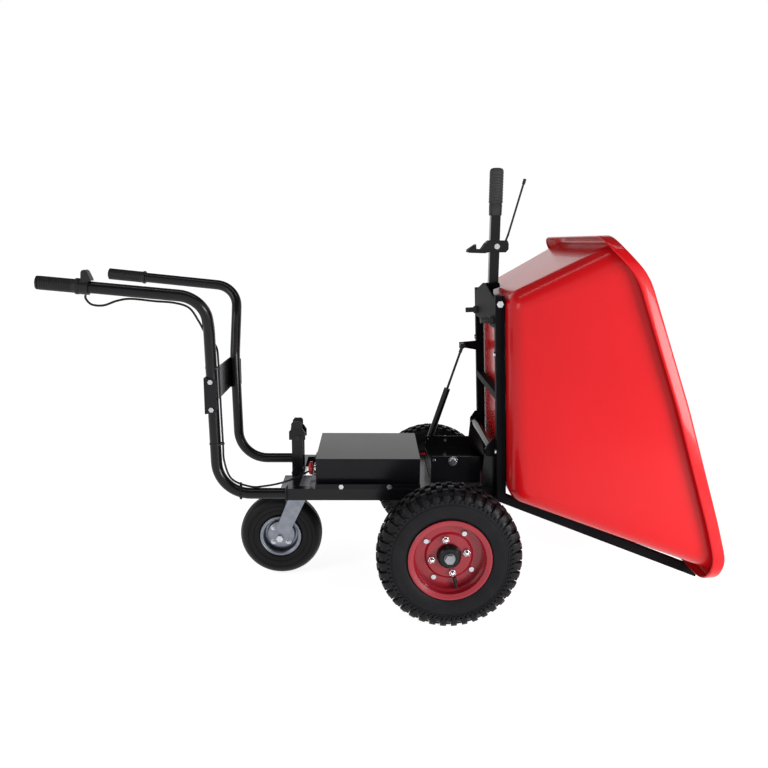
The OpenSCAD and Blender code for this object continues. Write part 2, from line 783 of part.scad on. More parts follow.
module caster_fork() {
    color("#b9bcc0") machine() difference() {
        union() {
            // raceway and crown
            translate([swivel_x, 0, 279]) ring(44, 26.1, 6);
            translate([swivel_x, 0, 264]) ring(48, 16.5, 15 + eps);
            // legs
            both_sides() side_slab([[swivel_x - 34, 279], [swivel_x + 22, 279],
                                    [swivel_x + 18, 262], [caster_x + 19, caster_z - 6],
                                    [caster_x + 11, caster_z - 17], [caster_x - 11, caster_z - 17],
                                    [caster_x - 19, caster_z - 6], [caster_x - 19, caster_z + 12],
                                    [swivel_x - 37, 262]],
                                   45, 49);
            block([swivel_x - 46, -49, 275], [swivel_x + 40, 49, 279]);
        }
        translate([swivel_x, 0, 200]) cylinder(r = 16.5, h = 84);
        translate([caster_x, -60, caster_z]) rotate([-90, 0, 0]) cylinder(r = 6, h = 120);
    }
}

module caster_axle() {
    color("#c9ccd0") machine() {
        translate([caster_x, -53, caster_z]) rotate([-90, 0, 0]) cylinder(r = 6, h = 106);
        both_sides() translate([caster_x, 49, caster_z]) rotate([-90, 0, 0])
            cylinder(d = 19 / cos(30), h = 9, $fn = 6);
    }
}

module caster_tyre() {
    half = caster_w / 2;
    color("#101011") machine() translate([caster_x, 0, caster_z]) rotate([-90, 0, 0])
        rotate_extrude($fn = 64) difference() {
            polygon([[62, -26], [70, -33], [90, -half], [108, -half], [120, -half + 9],
                     [caster_z - 1.5, -18], [caster_z, -8], [caster_z, 8],
                     [caster_z - 1.5, 18], [120, half - 9], [108, half], [90, half],
                     [70, 33], [62, 26]]);
            polygon([[60, -20], [72, -25], [92, -half + 8], [106, -half + 8], [116, -18],
                     [120, 0], [116, 18], [106, half - 8], [92, half - 8], [72, 25], [60, 20]]);
        }
}

module caster_rim() {
    color("#a9adb2") machine() translate([caster_x, 0, caster_z]) rotate([-90, 0, 0])
        difference() {
            rotate_extrude($fn = 64) polygon([[6 + fit, -42], [14, -42], [14, -22], [40, -22],
                [52, -27], [66, -35], [68, -33], [62, -26], [62, 26], [68, 33], [66, 35],
                [52, 27], [40, 22], [14, 22], [14, 42], [6 + fit, 42]]);
            for (a = [45:90:315], s = [-1, 1]) rotate([0, 0, a])
                translate([33, 0, s * 24]) cylinder(r = 4, h = 12, center = true);
        }
}

// ---- drive wheels, drawn with their axis along Z and the outside towards +Z ----

module wheel_place(side) {
    machine() mirrored(side) translate([0, wheel_y, wheel_r]) rotate([-90, 0, 0]) children();
}

lug_h = 7;

module drive_tyre() {
    half = tyre_w / 2;
    r = wheel_r - lug_h;
    union() {
        rotate_extrude($fn = 72) difference() {
            polygon([[104, -33], [118, -42], [140, -47.5], [162, -47.5], [178, -43],
                     [r, -30], [r, 30], [178, 43], [162, 47.5], [140, 47.5], [118, 42],
                     [104, 33]]);
            polygon([[102, -26], [120, -34], [140, -37], [158, -37], [172, -31],
                     [178, -22], [178, 22], [172, 31], [158, 37], [140, 37], [120, 34],
                     [102, 26]]);
        }
        step = 360 / lug_count;
        // flat top of a lug whose corner reaches the wheel's full radius at the floor
        lug_top = (wheel_r - 9 * sin(step / 2)) / cos(step / 2);
        for (i = [0:lug_count - 1]) {
            rotate([0, 0, 90 + step * i]) {
                block([r - 8, -9, 3], [lug_top, 9, 19]);
                block([172, -8, 24], [r + 3, 8, half]);
            }
            rotate([0, 0, 90 + step * (i + 0.5)]) {
                block([r - 8, -9, -19], [lug_top, 9, -3]);
                block([172, -8, -half], [r + 3, 8, -24]);
            }
        }
    }
}

module tyre_left() {
    color("#121213") wheel_place(1) drive_tyre();
}

module tyre_right() {
    color("#121213") wheel_place(-1) drive_tyre();
}

// pressed half of a split rim, from its flange down to the disc at its middle
module rim_outer() {
    difference() {
        rotate_extrude($fn = 72) polygon([[34, 6], [60, 6], [66, 1.5], [96, 1.5], [96, 18],
            [101, 24], [101, 38], [112, 41], [114, 44.5], [113, 45.3], [109, 45.3],
            [99, 41], [98, 26], [93, 20], [93, 4.5], [67, 4.5], [61, 9], [34, 9]]);
        wheel_holes();
    }
}

module rim_inner() {
    difference() {
        rotate_extrude($fn = 72) polygon([[34, 3], [60, 3], [66, -1.5], [93, -1.5],
            [93, -20], [98, -26], [99, -41], [109, -45.3], [113, -45.3], [114, -44.5],
            [112, -41], [101, -38], [101, -24], [96, -18], [96, 1.5], [66, 1.5], [60, 6],
            [34, 6]]);
        wheel_holes();
    }
}

clamp_r = 75;
lug_r = 49;
clamp_angles = [57, 147, 237, 327];
lug_angles = [12, 102, 192, 282];

module wheel_holes() {
    for (a = clamp_angles) rotate([0, 0, -a]) translate([clamp_r, 0, -30])
        cylinder(r = 4.5, h = 60);
    for (a = lug_angles) rotate([0, 0, -a]) translate([lug_r, 0, -30])
        cylinder(r = 6, h = 60);
}

module rim_outer_left() {
    color("#d01c22") wheel_place(1) rim_outer();
}

module rim_outer_right() {
    color("#d01c22") wheel_place(-1) rim_outer();
}

module rim_inner_left() {
    color("#d01c22") wheel_place(1) rim_inner();
}

module rim_inner_right() {
    color("#d01c22") wheel_place(-1) rim_inner();
}

// hub that the rim bolts to, with its nose through the rim's middle
module drive_hub() {
    difference() {
        rotate_extrude($fn = 60) polygon([[12.5, -48], [32, -48], [32, -12], [59, -12],
            [59, 3], [33.9, 3], [33.9, 14], [30, 26], [26, 30], [12.5, 30]]);
        for (a = lug_angles) rotate([0, 0, -a]) translate([lug_r, 0, -20])
            cylinder(r = 5, h = 30);
    }
}

module hub_left() {
    color("#19191b") wheel_place(1) drive_hub();
}

module hub_right() {
    color("#19191b") wheel_place(-1) drive_hub();
}

module clamp_bolts() {
    for (a = clamp_angles) rotate([0, 0, -a]) translate([clamp_r, 0, 0]) {
        translate([0, 0, 4.5]) cylinder(d = 13 / cos(30), h = 5.5, $fn = 6);
        translate([0, 0, -8]) cylinder(r = 4.5, h = 14);
        translate([0, 0, -8]) cylinder(d = 13 / cos(30), h = 6.4, $fn = 6);
    }
}

module rim_bolts_left() {
    color("#c9ccd0") wheel_place(1) clamp_bolts();
}

module rim_bolts_right() {
    color("#c9ccd0") wheel_place(-1) clamp_bolts();
}

module lug_set() {
    for (a = lug_angles) rotate([0, 0, -a]) translate([lug_r, 0, 0]) {
        translate([0, 0, -12]) cylinder(r = 5, h = 24);
        translate([0, 0, 9]) cylinder(d = 17 / cos(30), h = 9, $fn = 6);
        translate([0, 0, 18]) sphere(r = 7.5);
        translate([0, 0, 3]) ring(6, 5 - eps, 6.1);
    }
}

module lug_nuts_left() {
    color("#d7dade") wheel_place(1) lug_set();
}

module lug_nuts_right() {
    color("#d7dade") wheel_place(-1) lug_set();
}

module axle_shaft() {
    translate([0, 0, -wheel_y + 72]) cylinder(r = 12.5, h = wheel_y - 72 + 34);
    translate([0, 0, 30]) cylinder(d = 30, h = 3);
    translate([0, 0, 33]) cylinder(d = 24 / cos(30), h = 8, $fn = 6);
}

module axle_shaft_left() {
    color("#9a9da2") wheel_place(1) axle_shaft();
}

module axle_shaft_right() {
    color("#9a9da2") wheel_place(-1) axle_shaft();
}

chassis_frame();
caster_plate();
latch_post();
post_bumpers();
catch_pin();
handlebar_left();
handlebar_right();
handle_cross_plate();
handle_bolts();
grip_left();
throttle_housing();
throttle_grip();
battery_box();
box_lid();
battery_pack();
controller();
frame_bolts();
estop_body();
estop_button();
rocker_housing();
rocker();
throttle_cable();
motor_cable();
axle_housing();
drive_motor();
motor_cover();
hinge_brackets();
hinge_pin();
tub();
tub_frame();
tub_bolts();
lever_gussets();
gusset_bolts();
tub_lever();
lever_grip();
tub_buffers();
latch_pivot_bolt();
latch_hook();
latch_rod();
latch_spring();
strut_cylinder();
strut_rod();
caster_fork();
caster_axle();
caster_tyre();
caster_rim();
tyre_left();
tyre_right();
rim_outer_left();
rim_outer_right();
rim_inner_left();
rim_inner_right();
hub_left();
hub_right();
rim_bolts_left();
rim_bolts_right();
lug_nuts_left();
lug_nuts_right();
axle_shaft_left();
axle_shaft_right();
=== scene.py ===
import json
import math

import bmesh
import bpy
from mathutils import Matrix, Vector


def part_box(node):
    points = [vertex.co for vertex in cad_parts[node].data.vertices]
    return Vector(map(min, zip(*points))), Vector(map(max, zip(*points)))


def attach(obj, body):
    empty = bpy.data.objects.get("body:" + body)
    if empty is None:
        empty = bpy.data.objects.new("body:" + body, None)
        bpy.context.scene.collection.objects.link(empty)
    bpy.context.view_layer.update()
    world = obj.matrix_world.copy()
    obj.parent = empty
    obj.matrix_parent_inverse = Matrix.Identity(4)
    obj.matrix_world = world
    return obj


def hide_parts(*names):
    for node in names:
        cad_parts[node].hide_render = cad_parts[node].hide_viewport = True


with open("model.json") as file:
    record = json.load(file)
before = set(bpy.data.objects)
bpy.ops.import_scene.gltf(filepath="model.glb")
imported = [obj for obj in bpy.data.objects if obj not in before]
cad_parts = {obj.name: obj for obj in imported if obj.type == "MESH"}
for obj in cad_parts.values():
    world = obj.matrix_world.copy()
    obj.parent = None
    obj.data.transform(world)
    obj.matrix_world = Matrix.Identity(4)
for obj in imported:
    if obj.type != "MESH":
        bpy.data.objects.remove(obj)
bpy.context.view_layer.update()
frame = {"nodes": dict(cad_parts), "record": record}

scene = bpy.context.scene

# ---- places: millimetres, turned into the frame's metres ----

tyre_low, tyre_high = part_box("tyre_left")
AXLE_X = (tyre_low.x + tyre_high.x) / 2
AXLE_Z = (tyre_low.z + tyre_high.z) / 2
WHEEL_Y = (tyre_low.y + tyre_high.y) / 2
LEAN = math.radians(2.6)  # how far the tipped tub's frame leans
TUB_FOOT = (152, 434)     # foot of the leaning frame the tub is drawn in
MM = 0.001
UP, ACROSS = Vector((0, 0, 1)), Vector((0, 1, 0))


def at(x, y, z):
    """Frame point of a place in millimetres: x from the drive axle, z from the floor."""
    return Vector((x * MM + AXLE_X, y * MM, z * MM))


def tub_at(height, y, back):
    """Frame point of a place in the leaning tub: height over its floor, and how far back."""
    c, s = math.cos(LEAN), math.sin(LEAN)
    return at(TUB_FOOT[0] + height * c - back * s, y, TUB_FOOT[1] + height * s + back * c)


# ---- materials ----

DUST_COLOUR = (0.16, 0.155, 0.15, 1)
DARK_STEEL_NODES = ("latch_rod", "strut_rod", "catch_pin")
SATIN_NODES = ("tub_frame", "lever_gussets")


def surface(name, base, rough, metal=0.0, coat=0.0, tint=0.06, patch=9.0, grain=700.0,
            depth=0.05, spread=0.05, stretch=(1, 1, 1), edge=0.0, coat_rough=0.04, dust=0.0,
            gleam=0.5):
    """Procedural finish: patchy colour and gloss, fine grain, and softened edges."""
    m = bpy.data.materials.new(name)
    m.use_nodes = True
    nodes, link = m.node_tree.nodes, m.node_tree.links.new
    shader = nodes["Principled BSDF"]
    shader.inputs["Metallic"].default_value = metal
    shader.inputs["Coat Weight"].default_value = coat
    shader.inputs["Specular IOR Level"].default_value = gleam
    shader.inputs["Coat Roughness"].default_value = coat_rough
    coords = nodes.new("ShaderNodeTexCoord")
    mapping = nodes.new("ShaderNodeMapping")
    mapping.inputs["Scale"].default_value = stretch
    link(coords.outputs["Object"], mapping.inputs["Vector"])
    patches = nodes.new("ShaderNodeTexNoise")
    patches.inputs["Scale"].default_value = patch
    patches.inputs["Detail"].default_value = 5
    link(mapping.outputs["Vector"], patches.inputs["Vector"])
    ramp = nodes.new("ShaderNodeValToRGB")
    ramp.color_ramp.elements[0].position = 0.3
    ramp.color_ramp.elements[1].position = 0.7
    ramp.color_ramp.elements[0].color = [c * (1 - tint) for c in base] + [1]
    ramp.color_ramp.elements[1].color = [min(1, c * (1 + tint)) for c in base] + [1]
    link(patches.outputs["Fac"], ramp.inputs["Fac"])
    colour = ramp.outputs["Color"]
    if dust > 0:
        # pale dust in broad soft patches
        cloud = nodes.new("ShaderNodeTexNoise")
        cloud.inputs["Scale"].default_value = 26
        cloud.inputs["Detail"].default_value = 8
        link(coords.outputs["Object"], cloud.inputs["Vector"])
        amount = nodes.new("ShaderNodeMapRange")
        amount.inputs["From Min"].default_value = 0.48
        amount.inputs["From Max"].default_value = 0.8
        amount.inputs["To Max"].default_value = dust
        link(cloud.outputs["Fac"], amount.inputs["Value"])
        mix = nodes.new("ShaderNodeMixRGB")
        mix.inputs["Color2"].default_value = DUST_COLOUR
        link(amount.outputs["Result"], mix.inputs["Fac"])
        link(colour, mix.inputs["Color1"])
        colour = mix.outputs["Color"]
    link(colour, shader.inputs["Base Color"])
    gloss = nodes.new("ShaderNodeMapRange")
    gloss.inputs["To Min"].default_value = max(0.02, rough - spread)
    gloss.inputs["To Max"].default_value = min(1, rough + spread)
    link(patches.outputs["Fac"], gloss.inputs["Value"])
    link(gloss.outputs["Result"], shader.inputs["Roughness"])
    fine = nodes.new("ShaderNodeTexNoise")
    fine.inputs["Scale"].default_value = grain
    fine.inputs["Detail"].default_value = 3
    link(mapping.outputs["Vector"], fine.inputs["Vector"])
    bump = nodes.new("ShaderNodeBump")
    bump.inputs["Strength"].default_value = depth
    bump.inputs["Distance"].default_value = 0.001
    link(fine.outputs["Fac"], bump.inputs["Height"])
    if edge > 0:
        bevel = nodes.new("ShaderNodeBevel")
        bevel.samples = 4
        bevel.inputs["Radius"].default_value = edge
        link(bevel.outputs["Normal"], bump.inputs["Normal"])
    link(bump.outputs["Normal"], shader.inputs["Normal"])
    return m


FINISHES = {
    "frame_paint": surface("frame_paint", (0.0042, 0.0040, 0.0052), 0.20, tint=0.25, gleam=0.24,
                           grain=420, depth=0.03, edge=0.0012),
    "frame_satin": surface("frame_satin", (0.0040, 0.0036, 0.0046), 0.55, tint=0.25,
                           gleam=0.03, grain=420, depth=0.03, edge=0.0012),
    "tub_paint": surface("tub_paint", (0.46, 0.0050, 0.0080), 0.24, coat=0.18, tint=0.035,
                         patch=3.5, grain=260, depth=0.012, spread=0.04, gleam=0.13,
                         coat_rough=0.05),
    "rim_paint": surface("rim_paint", (0.24, 0.006, 0.015), 0.24, coat=0.3, tint=0.06,
                         gleam=0.35, grain=380, depth=0.02),
    "hub_paint": surface("hub_paint", (0.005, 0.005, 0.006), 0.33, tint=0.2, gleam=0.25,
                         grain=520, depth=0.04, edge=0.0010),
    "box_paint": surface("box_paint", (0.0045, 0.0045, 0.006), 0.22, tint=0.2, gleam=0.17,
                         grain=520, depth=0.035, edge=0.0012),
    "zinc": surface("zinc", (0.21, 0.225, 0.26), 0.34, metal=1.0, tint=0.16, patch=55,
                    grain=900, depth=0.06, spread=0.10, edge=0.0010),
    "bolt_steel": surface("bolt_steel", (0.52, 0.53, 0.56), 0.24, metal=1.0, tint=0.10,
                          patch=120, grain=1500, depth=0.05, edge=0.0006),
    "nut_chrome": surface("nut_chrome", (0.74, 0.74, 0.76), 0.12, metal=1.0, tint=0.04,
                          patch=90, grain=1500, depth=0.015, spread=0.03, edge=0.0006),
    "raw_steel": surface("raw_steel", (0.26, 0.27, 0.29), 0.38, metal=1.0, tint=0.15, patch=70,
                         grain=600, depth=0.06, stretch=(1, 8, 1)),
    "dark_steel": surface("dark_steel", (0.020, 0.020, 0.022), 0.30, metal=0.6, tint=0.15,
                          patch=70, grain=900, depth=0.04, gleam=0.3),
    "tyre_rubber": surface("tyre_rubber", (0.0032, 0.0031, 0.0042), 0.42, tint=0.22, patch=30,
                           grain=1400, depth=0.14, spread=0.10, gleam=0.16, dust=0.012),
    "soft_rubber": surface("soft_rubber", (0.007, 0.007, 0.0075), 0.50, tint=0.18, patch=45,
                           gleam=0.28, grain=1600, depth=0.12, spread=0.08),
    "grey_rubber": surface("grey_rubber", (0.028, 0.028, 0.030), 0.6, tint=0.12, patch=45,
                           gleam=0.25, grain=1300, depth=0.12, spread=0.08),
    "black_plastic": surface("black_plastic", (0.006, 0.006, 0.007), 0.40, tint=0.15,
                             gleam=0.28, grain=1800, depth=0.10, edge=0.0008),
    "red_plastic": surface("red_plastic", (0.42, 0.008, 0.012), 0.2, coat=0.3, tint=0.05,
                           gleam=0.35, grain=900, depth=0.01),
    "battery_case": surface("battery_case", (0.06, 0.14, 0.28), 0.45, tint=0.08),
    "cast_housing": surface("cast_housing", (0.20, 0.21, 0.23), 0.55, metal=0.8, tint=0.15,
                            patch=40, grain=480, depth=0.25),
    "cable_jacket": surface("cable_jacket", (0.005, 0.005, 0.006), 0.38, tint=0.15,
                            gleam=0.25, grain=1500, depth=0.05),
}

slot_of = {s["node"]: s["material_slot"] for s in frame["record"]["subparts"]}
for name, node in frame["nodes"].items():
    node.data.materials.clear()
    finish = slot_of[name]
    if name in DARK_STEEL_NODES:
        finish = "dark_steel"
    elif name in SATIN_NODES:
        finish = "frame_satin"
    node.data.materials.append(FINISHES[finish])

# ---- mesh helpers ----


def make(name, verts, faces, body, finish, crease=40, outward=None):
    """One mesh piece riding on a body, with its normals facing out and sharp edges kept."""
    mesh = bpy.data.meshes.new(name)
    mesh.from_pydata([tuple(v) for v in verts], [], faces)
    b = bmesh.new()
    b.from_mesh(mesh)
    bmesh.ops.remove_doubles(b, verts=b.verts, dist=2e-6)
    bmesh.ops.recalc_face_normals(b, faces=b.faces)
    if outward is not None:
        b.faces.ensure_lookup_table()
        point, direction = outward
        nearest = min(b.faces, key=lambda f: (f.calc_center_median() - point).length)
        if nearest.normal.dot(direction) < 0:
            bmesh.ops.reverse_faces(b, faces=b.faces)
    b.to_mesh(mesh)
    b.free()
    mesh.polygons.foreach_set("use_smooth", [True] * len(mesh.polygons))
    mesh.set_sharp_from_angle(angle=math.radians(crease))
    mesh.materials.append(FINISHES[finish])
    piece = bpy.data.objects.new(name, mesh)
    scene.collection.objects.link(piece)
    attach(piece, body)
    return piece


def merge(parts):
    """Several (verts, faces) lists as one."""
    verts, faces = [], []
    for v, f in parts:
        first = len(verts)
        verts += v
        faces += [[i + first for i in face] for face in f]
    return verts, faces


def tube(points, radius, sides=24):
    """Closed round tube along a line of points."""
    verts, faces = [], []
    last = len(points) - 1
    side = (points[1] - points[0]).orthogonal().normalized()
    for i, p in enumerate(points):
        run = (points[min(i + 1, last)] - points[max(i - 1, 0)]).normalized()
        side = (side - run * side.dot(run)).normalized()
        other = run.cross(side)
        for k in range(sides):
            a = 2 * math.pi * k / sides
            verts.append(p + (side * math.cos(a) + other * math.sin(a)) * radius)
    for i in range(last):
        for k in range(sides):
            a, b = i * sides + k, i * sides + (k + 1) % sides
            faces.append([a, b, b + sides, a + sides])
    faces.append(list(range(sides)))
    faces.append([last * sides + k for k in range(sides)])
    return verts, faces


def bend_line(corners, radii, steps=14):
    """Middle line through a list of corners, with an arc at each inner corner."""
    line = [corners[0]]
    for i in range(1, len(corners) - 1):
        a = (corners[i] - corners[i - 1]).normalized()
        b = (corners[i + 1] - corners[i]).normalized()
        turn = math.acos(max(-1, min(1, a.dot(b))))
        n = (b - a * a.dot(b)).normalized()
        r = radii[i - 1] * MM
        centre = corners[i] - a * r * math.tan(turn / 2) + n * r
        count = max(3, math.ceil(steps * turn / 1.57))
        for k in range(count + 1):
            t = turn * k / count
            line.append(centre + (a * math.sin(t) - n * math.cos(t)) * r)
    line.append(corners[-1])
    return line


def smooth_line(p, steps=8):
    """Smooth curve through points."""
    line = []
    last = len(p) - 1
    for i in range(last):
        a, b, c, d = p[max(i - 1, 0)], p[i], p[i + 1], p[min(i + 2, last)]
        for k in range(steps):
            t = k / steps
            line.append(0.5 * (2 * b + (c - a) * t + (2 * a - 5 * b + 4 * c - d) * t * t
                               + (3 * b - a - 3 * c + d) * t * t * t))
    line.append(p[-1])
    return line


def rounded(corners, radius, closed=False, steps=5):
    """2-D outline with its corners rounded."""
    out = []
    n = len(corners)
    for i, p in enumerate(corners):
        if not closed and i in (0, n - 1):
            out.append(tuple(p))
            continue
        p = Vector(p)
        a, b = Vector(corners[i - 1]) - p, Vector(corners[(i + 1) % n]) - p
        r = min(radius, a.length * 0.45, b.length * 0.45)
        start, end = p + a.normalized() * r, p + b.normalized() * r
        for k in range(steps + 1):
            t = k / steps
            q = start * (1 - t) ** 2 + p * 2 * t * (1 - t) + end * t * t
            out.append((q.x, q.y))
    return out


def revolve(profile, origin, axis, segments=72, closed=False):
    """Surface of revolution; the profile is (place along the axis, radius) in millimetres."""
    axis = axis.normalized()
    up = axis.orthogonal().normalized()
    if abs(axis.z) < 0.9:
        up = (Vector((0, 0, 1)) - axis * axis.z).normalized()
    across = axis.cross(up)
    count = len(profile)
    verts, faces = [], []
    for k in range(segments):
        a = 2 * math.pi * k / segments
        out = up * math.cos(a) + across * math.sin(a)
        verts += [origin + axis * (s * MM) + out * (r * MM) for s, r in profile]
    for k in range(segments):
        j = (k + 1) % segments
        for i in range(count if closed else count - 1):
            n = (i + 1) % count
            faces.append([k * count + i, k * count + n, j * count + n, j * count + i])
    return verts, faces


def bevelled(verts, faces, width):
    """A small solid with all its edges rounded."""
    mesh = bpy.data.meshes.new("scratch")
    mesh.from_pydata([tuple(v) for v in verts], [], faces)
    b = bmesh.new()
    b.from_mesh(mesh)
    bmesh.ops.recalc_face_normals(b, faces=b.faces)
    bmesh.ops.bevel(b, geom=list(b.edges), offset=width * MM, segments=2, profile=0.6,
                    affect="EDGES", clamp_overlap=True)
    b.verts.index_update()
    out = ([v.co.copy() for v in b.verts], [[v.index for v in f.verts] for f in b.faces])
    b.free()
    bpy.data.meshes.remove(mesh)
    return out


def slab(outline, place, half):
    """Prism from an outline; place(a, b, t) gives a point, with t from -half to half."""
    n = len(outline)
    verts = [place(a, b, -half(a, b)) for a, b in outline]
    verts += [place(a, b, half(a, b)) for a, b in outline]
    faces = [list(range(n)), [n + i for i in range(n)]]
    faces += [[i, (i + 1) % n, n + (i + 1) % n, n + i] for i in range(n)]
    return verts, faces


# ---- the tub: pressed sheet with a rolled rim ----

# the rim in the tub's leaning frame, from rear to front: (place, height)
RIM = [(660, 263), (594, 286), (505, 356), (161, 468), (-158, 558), (-260, 583), (-325, 579),
       (-420, 573)]
# floor and rim as rounded rectangles: half width, front, back, corner round
FLOOR = (212, -71, 427, 0)
FLOOR_X = 80
FLOOR_BEND = 60
RIM_TOP = (275, -255, 524, 70)
LIP_EDGE = (274, -250, 517, 95)
LIP_ROLL = 2.6


def rim_line(back):
    """Height of the rim at a place, straight between the points of RIM."""
    for (b0, h0), (b1, h1) in zip(RIM, RIM[1:]):
        if b1 <= back <= b0:
            return h0 + (h1 - h0) * (b0 - back) / (b0 - b1)
    return RIM[0][1] if back > RIM[0][0] else RIM[-1][1]


def rim_height(back):
    """Height of the rim, smoothed over its corners."""
    return sum(rim_line(back + d) for d in range(-24, 25, 6)) / 9


def around(long_steps=34, short_steps=30, corner_steps=14):
    """Places round a rounded rectangle: side-to-side share, front-to-rear share and normal."""
    out = []
    quarters = [(1, 0, 0), (-1, 0, -90), (-1, 1, -180), (1, 1, -270)]
    for i, (side, rear, angle) in enumerate(quarters):
        for k in range(corner_steps):
            a = math.radians(angle - 90 * k / corner_steps)
            out.append((side, rear, math.cos(a), math.sin(a)))
        next_side, next_rear, _ = quarters[(i + 1) % 4]
        a = math.radians(angle - 90)
        count = short_steps if next_side != side else long_steps
        for k in range(count):
            t = k / count
            out.append((side + (next_side - side) * t, rear + (next_rear - rear) * t,
                        math.cos(a), math.sin(a)))
    return out


def corner_curve(a, b, c, steps=6):
    """Round from a to c, with its corner at b."""
    return [a * (1 - k / steps) ** 2 + b * 2 * (k / steps) * (1 - k / steps)
            + c * (k / steps) ** 2 for k in range(steps + 1)]


def tub_shell():
    """Skin of the tub: floor, bend, wall, and the edge rolled over outwards."""
    ring_points = []
    for side, rear, ny, nb in around():
        n = Vector((0, ny, nb))

        def outline(half, front, back, r):
            return Vector((0, side * half, front + rear * (back - front))) + n * r

        foot = outline(*FLOOR) + Vector((FLOOR_X, 0, 0))
        rim = outline(*RIM_TOP)
        rim.x = rim_height(rim.z)
        lip = outline(*LIP_EDGE)
        lip.x = rim_height(lip.z)
        reach = (rim - foot).dot(n)
        rise = rim.x - foot.x
        turn = (math.atan2(rise, reach) - math.acos(FLOOR_BEND / math.hypot(reach, rise))
                + math.pi / 2)
        line = [foot + n * FLOOR_BEND * math.sin(turn * k / 12)
                - Vector((FLOOR_BEND * math.cos(turn * k / 12), 0, 0)) for k in range(13)]
        low = line[-1]
        wall = rim - low
        line += [low + wall * k / 18 for k in range(1, 18)]
        edge = (lip - rim).normalized()
        line += corner_curve(rim - wall.normalized() * 7, rim, rim + edge * 7)
        down = Vector((-1, 0, 0))
        line += corner_curve(lip - edge * 6, lip, lip + down * 6)
        line += [lip + down * 16, lip + down * 25]
        line += [lip + down * (27.2 - LIP_ROLL * math.cos(a))
                 - n * (LIP_ROLL - LIP_ROLL * math.sin(a)) for a in (1.9, 2.4, 3.0)]
        ring_points.append([tub_at(*p) for p in line])
    count, deep = len(ring_points), len(ring_points[0])
    verts = [p for line in ring_points for p in line]
    faces = []
    for i in range(count):
        j = (i + 1) % count
        for k in range(deep - 1):
            faces.append([i * deep + k, i * deep + k + 1, j * deep + k + 1, j * deep + k])
    faces.append([i * deep for i in range(count)])
    return verts, faces


verts, faces = tub_shell()
tub = make("tub_sheet", verts, faces, "tipper", "tub_paint", crease=60,
           outward=(tub_at(20, 0, 180), Vector((-1, 0, 0))))
solid = tub.modifiers.new("thickness", "SOLIDIFY")
solid.thickness = 0.002
solid.offset = -1
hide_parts("tub")

# ---- handlebars, grips and cables ----

BAR_R = 16
BAR_BENDS = (95, 150, 150, 75)
ROUTE = [(-461, 178, 321), (-656, 178, 321), (-662, 178, 672), (-658, 206, 801),
         (-660, 243, 890), (-1082, 268, 929)]
grip_run = {}
for side, name in ((1, "left"), (-1, "right")):
    corners = [at(x, side * y, z) for x, y, z in ROUTE]
    grip_run[name] = (corners[-1], (corners[-2] - corners[-1]).normalized())
    bar = make("bar_tube_" + name, *tube(bend_line(corners, BAR_BENDS), BAR_R * MM, 40),
               "chassis", "frame_paint")
    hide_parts("handlebar_" + name)


def grip_profile(start, flange, end, top):
    """Ribbed sleeve with a collar at its inner end, as (place, radius) pairs."""
    line = [(start, 0), (start, 14.6), (start + 1.4, 16.6), (start + 2, 18.3)]
    s = start + 6
    while s < flange - 9:
        line += [(s, 18.45), (s + 0.8, 17.3), (s + 2.2, 17.3), (s + 3.0, 18.45)]
        s += 6.2
    line += [(flange - 4, 18.4), (flange, 18.9), (flange + 1.4, top - 0.5), (flange + 2.6, top),
             (end - 1.6, top), (end, top - 1.6), (end, 15.9)]
    return line


end, run = grip_run["left"]
piece = make("grip_sleeve_left", *revolve(grip_profile(-5, 110, 118, 21), end, run, 48),
             "chassis", "soft_rubber", crease=50)
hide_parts("grip_left")
end, run = grip_run["right"]
piece = make("grip_sleeve_throttle", *revolve(grip_profile(0.2, 93, 104, 21.5), end, run, 48),
             "throttle", "soft_rubber", crease=50)
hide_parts("throttle_grip")

THROTTLE_CABLE = [
    (-966, -261, 897), (-965, -261, 886), (-950, -262, 872), (-920, -261, 870),
    (-885, -258, 882), (-850, -255, 887), (-790, -251, 881), (-736, -247, 876),
    (-700, -241, 862), (-679.5, -228, 825), (-674, -190, 792), (-658, -178, 768),
    (-644, -180, 745), (-640.5, -184, 710), (-641, -177, 660), (-639, -178, 560),
    (-637, -178, 470), (-635, -178, 416), (-615, -178, 364), (-562, -178, 341.5),
    (-520, -174, 342), (-480, -162, 346), (-445, -135, 350), (-415, -90, 352),
    (-395, -50, 352), (-385, -50, 352), (-375.4, -50, 352)]
MOTOR_CABLE = [
    (-100, -138, 333.3), (-100, -138, 322), (-92, -139, 300), (-76, -139, 282),
    (-58, -130, 276), (-40, -110, 276), (-26, -86, 278), (-17, -66, 286), (-16, -59, 298),
    (-16, -59, 310)]
THROTTLE_CABLE_R, MOTOR_CABLE_R = 0.003, 0.005
for name, route, radius in (("throttle_cable", THROTTLE_CABLE, THROTTLE_CABLE_R),
                            ("motor_cable", MOTOR_CABLE, MOTOR_CABLE_R)):
    line = smooth_line([at(*p) for p in route])
    piece = make(name + "_run", *tube(line, radius, 14), "chassis", "cable_jacket")
    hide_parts(name)


TIE_HALF, TIE_THICK, TIE_PLAY = 2.2, 1.2, 0.6
TIE_HEAD = (3.2, 2.4, 3)


